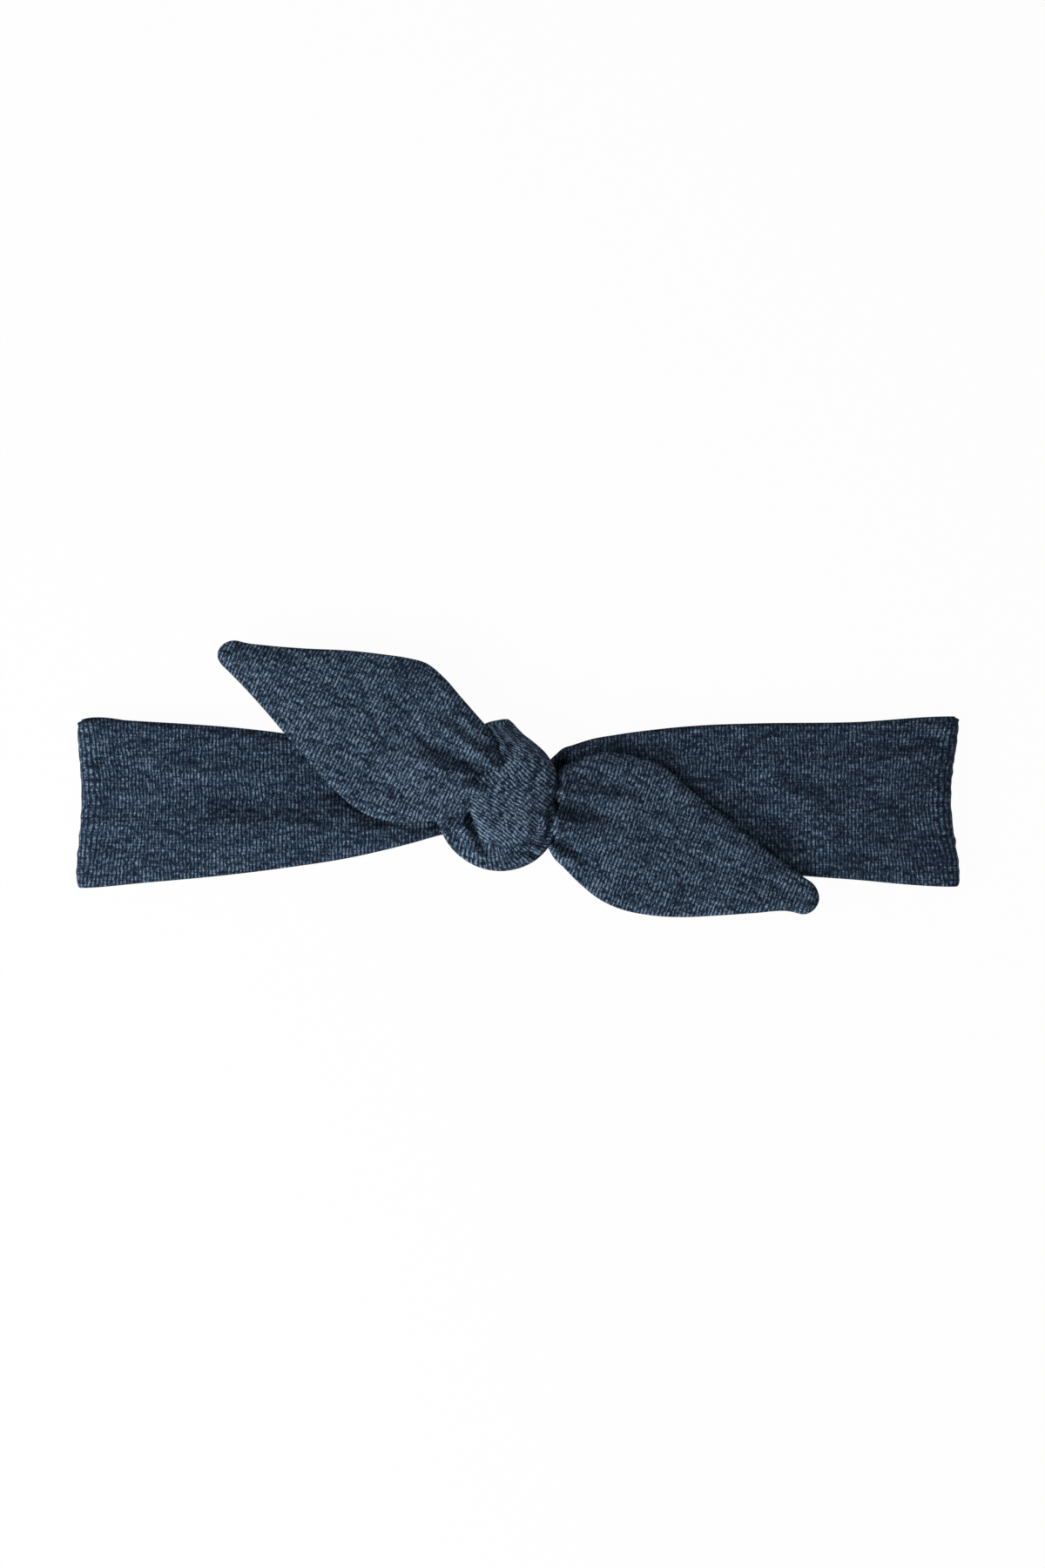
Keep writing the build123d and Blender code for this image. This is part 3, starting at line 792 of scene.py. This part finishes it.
# The wrap's left and right edges, from its bottom to its top, as (y, x) in millimetres.
wrap_left = [(-11.1, -3.6), (-10.4, -5.9), (-9.0, -7.5), (-5.3, -9.1), (-2.1, -10.2), (0.4, -10.8),
             (2.9, -10.5), (4.8, -9.2), (6.3, -7.2), (8.0, -5.3), (9.9, -4.5), (12.4, -4.9), (15.0, -6.3),
             (16.7, -7.2), (17.4, -5.2), (17.8, -3.0)]
wrap_right = [(-11.1, -2.0), (-10.1, 0.7), (-9.2, 2.5), (-7.4, 3.9), (-5.3, 5.4), (-2.8, 6.8), (-0.8, 7.4),
              (2.0, 8.1), (5.2, 8.4), (8.6, 7.4), (10.6, 6.0), (12.7, 3.7), (14.5, 1.4), (16.0, -0.1),
              (17.2, -1.2), (17.8, -2.0)]
wrap_creases = [([(0.9, 14.0), (-1.2, 11.6), (-3.2, 9.0), (-5.4, 6.2)], 1.9, 0.75),
                ([(5.6, 10.6), (6.9, 7.8), (7.4, 5.0), (7.1, 1.8), (6.0, -1.2)], 0.6, 0.4, 0.0, 0.7),
                ([(-3.4, -2.4), (-4.7, -4.0), (-5.9, -4.9), (-7.6, -4.8)], 0.8, 0.4, 0.0, 0.5),
                ([(2.2, 13.0), (0.2, 10.4), (-1.6, 7.6)], 0.9, 0.5),
                ([(-6.2, 15.4), (-5.0, 13.4), (-4.2, 11.4), (-4.6, 9.4)], 1.2, 0.5),
                ([(-4.8, 12.2), (-1.8, 14.2), (0.8, 15.4)], 1.1, 0.45),
                ([(6.6, 8.6), (3.0, 4.6), (-2.0, 0.4), (-6.4, -4.6)], 0.55, 0.9),
                ([(-9.4, 2.0), (-6.2, 4.0), (-2.4, 7.4)], 0.6, 0.7),
                ([(-8.6, -5.0), (-4.6, -4.4), (-0.6, -0.6), (3.6, 3.4)], 0.35, 0.7),
                ([(3.8, -7.2), (4.2, -3.2), (6.8, 1.4)], 0.4, 0.7)]


def turned(along, aside, degrees):
    """A place on flat cloth, turned round its origin."""
    c, s = math.cos(math.radians(degrees)), math.sin(math.radians(degrees))
    return along * c - aside * s, along * s + aside * c


def wrap_surface():
    """The points and the flat cloth of the strand over the knot's face, a dome with creased sides."""
    sizes = settings("knot")
    bottom, top = wrap_left[0][0], wrap_left[-1][0]
    middle, half_length = (bottom + top) / 2, (top - bottom) / 2

    def section(s, t):
        angle = 2 * math.pi * t
        round_side = np.sign(np.sin(angle)) * np.abs(np.sin(angle)) ** 0.75
        return middle - half_length * np.cos(math.pi * s), np.cos(angle), round_side

    def place(s, t):
        y, across, round_side = section(s, t)
        on_top = round_side > 0
        low, high = curve(wrap_left, y), curve(wrap_right, y)
        x = (low + high) / 2 + (high - low) / 2 * across
        end = np.clip(1 - ((y - middle) / half_length) ** 2, 0, 1)
        # a dome that is highest near its middle, and a little to the right
        crown = (FACE_TOP - WRAP_FOOT) * np.clip(1 - ((y - 1.0) / 19.0) ** 2, 0, 1) ** 0.6
        rise = np.where(on_top, crown * end**0.35 * (1 + 0.12 * across), sizes.underside / MM * end**0.5)
        profile = np.abs(round_side) ** np.where(on_top, 0.7, 0.9) * np.sign(round_side)
        # the cloth is drawn together at the neck
        gathered = 0.12 + sizes.neck_folds / MM * hump(y, 11.5, 4.5)
        ridges = gathered * ripples(math.pi * across, 6, (3, 5, 6, 8)) * (1 - across**8)
        ridges += 0.09 * wrinkles(y, x - 0.35 * y, 3)
        for each in wrap_creases:
            ridges -= crease(x, y, *each)
        return x, y, WRAP_FOOT - 0.8 + rise * profile + np.where(on_top, ridges * end**0.5, 0)

    def cloth(s, t):
        y, across, round_side = section(s, t)
        half = 0.35 * 9.5 + 0.65 * (curve(wrap_right, y) - curve(wrap_left, y)) / 2
        along, aside = turned(y, half * across * np.where(round_side > 0, 1, 3), -32)
        return 1.15 * along, 0.8 * aside + UV_ASIDE["wrap"]

    return place, cloth


def strand(name, path, widths, heights, rows, gathers, seed, creases=(), turn=0.0):
    """A gathered strand of cloth along a path of points, with its width and height at each point. Its
    ribs are turned by some degrees from its length."""
    last = len(path) - 1
    wide, tall = list(enumerate(widths)), list(enumerate(heights))

    def on_path(at):
        return np.stack([curve([(i, p[axis]) for i, p in enumerate(path)], at) for axis in range(3)], axis=1)

    def unit(vectors):
        return vectors / np.linalg.norm(vectors, axis=1)[:, None]

    def place(s, t):
        at = s * last
        along = unit(on_path(np.clip(at + 0.02, 0, last)) - on_path(np.clip(at - 0.02, 0, last)))
        side = unit(np.cross(along, np.array([0, 0, 1.0])))
        angle = 2 * math.pi * t
        bulge = 1 + gathers * ripples(angle, seed, (5, 7, 8, 11)) * np.clip(np.sin(angle) + 0.5, 0, 1)
        points = on_path(at) + side * (np.cos(angle) * bulge * curve(wide, at) / 2)[:, None]
        points += np.cross(side, along) * (np.sin(angle) * bulge * curve(tall, at) / 2)[:, None]
        for each in creases:
            points[:, 2] -= crease(points[:, 0], points[:, 1], *each) * (np.sin(angle) > 0)
        return points[:, 0], points[:, 1], points[:, 2]

    def cloth(s, t):
        across = np.cos(2 * math.pi * t) * curve(wide, s * last) / 2
        along, aside = turned(s * sum(math.dist(a, b) for a, b in zip(path, path[1:])), across, turn)
        return along + UV_APART["strands"] * seed, aside + UV_ASIDE["strands"]

    return add_cloth(name, rows, POINTS_ROUND_STRAND, place, cloth)


class HEADBAND_OT_knot(bpy.types.Operator):
    """Make the knot: the wrap over its face, the strands round it and the crossing inside"""

    bl_idname = "headband.knot"
    bl_label = "Knot"

    def execute(self, context):
        place, cloth = wrap_surface()
        # the wrap's colour is made lighter, by a share below 0
        wrap = add_cloth("knot_wrap", *WRAP_GRID, place, cloth, darker_share=-0.9)
        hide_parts("knot_face_wrap")
        loop = strand(
            "knot_lower_loop",
            path=[(-17.5, 0.5, 7.0), (-13.8, -3.2, 7.4), (-10.9, -7.3, 7.8), (-7.6, -9.9, 8.0),
                  (-3.7, -10.9, 8.0), (0.2, -10.3, 8.2), (3.3, -8.5, 8.8), (5.3, -5.8, 9.8),
                  (6.2, -2.0, 10.4), (5.4, 2.0, 9.6)],
            widths=(5.5, 7.8, 8.5, 8.3, 8.1, 7.7, 7.0, 5.9, 4.3, 3),
            heights=(5, 6, 6.8, 7.2, 7.2, 7.0, 6.4, 5.6, 4.6, 3),
            rows=140, gathers=0.08, seed=5, turn=20,
            creases=[([(-10.2, -2.8), (-9.7, -4.4), (-8.6, -7.0), (-7.5, -9.6), (-6.1, -11.2), (-4.2, -11.7),
                       (-1.6, -11.6)], 1.2, 0.8, 0.0, 0.6),
                     ([(-9.6, -3.4), (-12.5, -4.1), (-15.4, -4.4)], 1.5, 0.7, 0.0, 0.6),
                     ([(5.2, -12.0), (2.6, -11.0), (0.4, -11.4), (-2.0, -12.6)], 1.6, 0.6),
                     ([(7.6, -6.0), (5.4, -8.8), (2.6, -10.4)], 1.4, 0.6),
                     ([(-14.5, -4.6), (-12.4, -8.6), (-9.0, -11.8)], 0.6, 0.7)])
        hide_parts("knot_left_strand")
        upper = strand(
            "knot_upper_strand",
            path=[(14.0, 3.4, 6.6), (9.0, 4.2, 7.4), (4.4, 6.4, 8.2), (0.4, 9.6, 8.4), (-3.0, 11.6, 7.8)],
            widths=(13, 8, 5, 5, 5), heights=(4.2, 5.0, 5.4, 5.4, 4.6), rows=60, gathers=0.10, seed=8,
            creases=[([(8.4, 7.0), (10.9, 9.0), (14, 10.2)], 1.6, 0.9),
                     ([(8.5, 10.0), (8.8, 6.0), (8.6, 1.0)], 2.2, 0.6, 0.0, 0.9)])
        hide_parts("knot_right_strand")
        core = strand(
            "knot_inside",
            path=[(-9.0, 4.0, 8.2), (-3.0, 2.0, 9.0), (3.0, 0.0, 9.0), (7.0, -1.6, 8.4)],
            widths=(8, 12, 12, 8), heights=(4.6, 6.4, 6.4, 4.6), rows=40, gathers=0.05, seed=9)
        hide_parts("knot_core")
        for piece in (wrap, loop, upper, core):
            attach(piece, "knot")
        return {"FINISHED"}


# ------------------------------------------------------------------ the stage
FLOOR_SIZE = 6.0
KEY_LIGHT_AT = (-0.35, -0.21, 0.35)
KEY_LIGHT_SIZE = 0.5
CAMERA_ABOVE = (1.1 * MM, 3.8 * MM)  # the place on the floor that it looks down on


def seen_directly(tree):
    """1 for a ray from the camera or by way of a gloss or a clear surface, and 0 for other light."""
    rays = add_node(tree, "LightPath", {}).outputs
    seen = calculate(tree, "MAXIMUM", rays["Is Camera Ray"], rays["Is Glossy Ray"])
    return calculate(tree, "MAXIMUM", seen, rays["Is Transmission Ray"])


def mix_surfaces(tree, share, first, second, output):
    """Mix two shaders, with a share of the second, into the surface of an output node."""
    mix = add_node(tree, "MixShader", {"Fac": share, 1: first, 2: second})
    put(tree, tree.nodes[output], {"Surface": mix.outputs["Shader"]})


def pale_floor_material():
    """A white floor that the camera sees as white, and that still takes shadows."""
    material, tree, shader = new_material("pale_floor")
    tree.nodes.remove(shader)
    paper = add_node(tree, "BsdfDiffuse", {"Color": (0.92, 0.92, 0.92, 1)})
    glow = add_node(tree, "Emission", {"Color": (1, 1, 1, 1), "Strength": 1.0})
    share = calculate(tree, "MULTIPLY", seen_directly(tree), 0.97)
    mix_surfaces(tree, share, paper.outputs["BSDF"], glow.outputs["Emission"], "Material Output")
    return material


class HEADBAND_OT_stage(bpy.types.Operator):
    """Make the floor, the soft light and the camera that looks straight down"""

    bl_idname = "headband.stage"
    bl_label = "Stage"

    def execute(self, context):
        sizes = settings("stage")
        scene = context.scene
        bpy.ops.object.select_all(action="DESELECT")
        bpy.ops.mesh.primitive_plane_add(size=FLOOR_SIZE)
        floor = context.object
        floor.name = "floor"
        floor.data.materials.append(pale_floor_material())

        world = bpy.data.worlds.new("soft_room")
        scene.world = world
        world.use_nodes = True
        tree = world.node_tree
        room = put(tree, tree.nodes["Background"], {"Color": (1, 1, 1, 1), "Strength": sizes.fill})
        white = add_node(tree, "Background", {"Color": (1, 1, 1, 1), "Strength": 1.0})
        mix_surfaces(tree, seen_directly(tree), room.outputs["Background"], white.outputs["Background"],
                     "World Output")

        bpy.ops.object.light_add(type="AREA", location=KEY_LIGHT_AT)
        key = context.object
        key.name = "key_light"
        key.data.shape = "DISK"
        key.data.size = KEY_LIGHT_SIZE
        key.data.energy = sizes.key
        key.rotation_euler = (-key.location).to_track_quat("-Z", "Y").to_euler()

        bpy.ops.object.camera_add(location=(*CAMERA_ABOVE, sizes.camera_height), rotation=(0, 0, 0))
        camera = context.object
        camera.data.sensor_width = 36
        above_legs = sizes.camera_height - TOP_OF_LEG * MM
        camera.data.lens = camera.data.sensor_width * above_legs / sizes.view_height
        scene.camera = camera
        scene.view_settings.view_transform = "Standard"
        return {"FINISHED"}


class HEADBAND_PT_panel(bpy.types.Panel):
    """The steps that make the headband, in order"""

    bl_label = "Headband"
    bl_idname = "HEADBAND_PT_panel"
    bl_space_type = "VIEW_3D"
    bl_region_type = "UI"
    bl_category = "Headband"

    def draw(self, context):
        for name in groups:
            box = self.layout.box()
            box.label(text=name.capitalize())
            for size in settings(name).bl_rna.properties.keys():
                if size not in ("rna_type", "name"):
                    box.prop(settings(name), size)
        for operator in operators:
            self.layout.operator(operator.bl_idname)


groups = {"jersey": HeadbandJersey, "loop": HeadbandLoop, "tails": HeadbandTails, "knot": HeadbandKnot,
          "stage": HeadbandStage}
operators = (HEADBAND_OT_stage, HEADBAND_OT_loop, HEADBAND_OT_tails, HEADBAND_OT_knot)
classes = (*groups.values(), *operators, HEADBAND_PT_panel)


def register():
    for each in classes:
        bpy.utils.register_class(each)
    for name, group in groups.items():
        setattr(bpy.types.Scene, f"headband_{name}", bpy.props.PointerProperty(type=group))


def unregister():
    for name in groups:
        delattr(bpy.types.Scene, f"headband_{name}")
    for each in reversed(classes):
        bpy.utils.unregister_class(each)


def main():
    """Register the add-on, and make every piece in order."""
    register()
    bpy.ops.headband.stage()
    bpy.ops.headband.loop()
    bpy.ops.headband.tails()
    bpy.ops.headband.knot()


if __name__ == "__main__":
    main()
